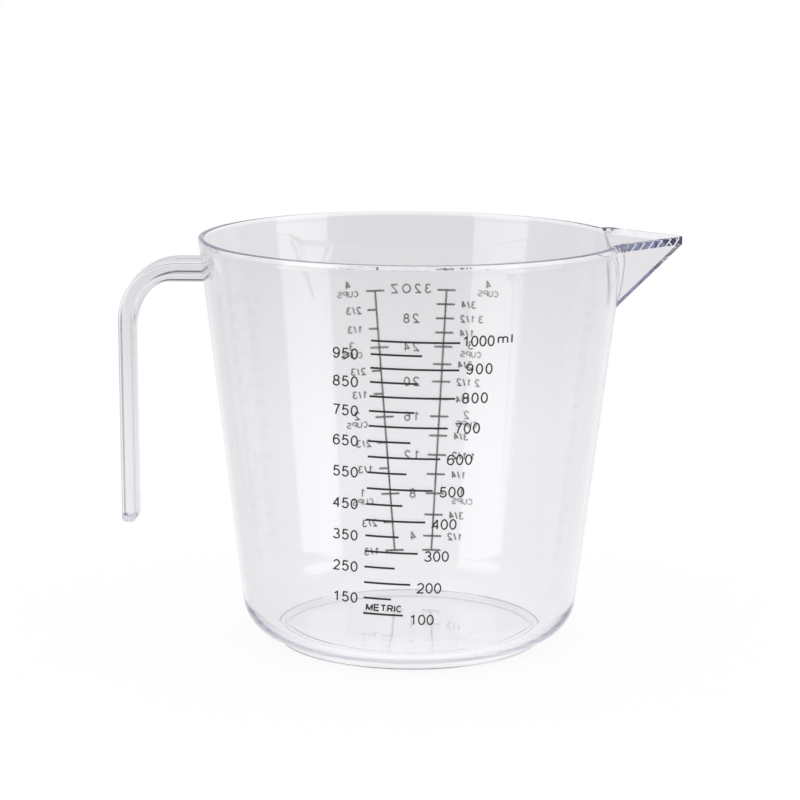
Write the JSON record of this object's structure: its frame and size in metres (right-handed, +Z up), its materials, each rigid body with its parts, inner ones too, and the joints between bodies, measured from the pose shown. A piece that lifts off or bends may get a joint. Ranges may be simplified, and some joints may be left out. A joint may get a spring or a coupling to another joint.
{
  "type": "measuring cup",
  "caption": "Clear tapered plastic measuring cup with a V-shaped pouring spout, an open hook handle and printed metric and cups scales.",
  "frame": {"origin": "on the table under the middle of the overall box, midway between the handle's outer face and the spout's tip; the cup's own axis is at x = 3.5 mm", "axes": "+Z up; +X the way the spout pours, with the handle at -X; the metric scale faces -Y and the cups scale faces +Y"},
  "size_m": [0.1774, 0.1344, 0.1302],
  "materials": {
    "clear_plastic": "clear, polished, with a faint violet-blue tint in thick edges",
    "black_ink": "thin printed ink"
  },
  "bodies": {
    "root": {"cup_wall": "clear_plastic", "cup_floor": "clear_plastic", "foot_ring": "clear_plastic", "rim_band": "clear_plastic", "pouring_spout": "clear_plastic", "handle": "clear_plastic", "metric_line_100": "black_ink", "metric_line_150": "black_ink", "metric_line_200": "black_ink", "metric_line_250": "black_ink", "metric_line_300": "black_ink", "metric_line_350": "black_ink", "metric_line_400": "black_ink", "metric_line_450": "black_ink", "metric_line_500": "black_ink", "metric_line_550": "black_ink", "metric_line_600": "black_ink", "metric_line_650": "black_ink", "metric_line_700": "black_ink", "metric_line_750": "black_ink", "metric_line_800": "black_ink", "metric_line_850": "black_ink", "metric_line_900": "black_ink", "metric_line_950": "black_ink", "metric_line_1000": "black_ink", "cups_thirds_ladder": "black_ink", "cups_quarters_ladder": "black_ink"}
  },
  "joints": []
}
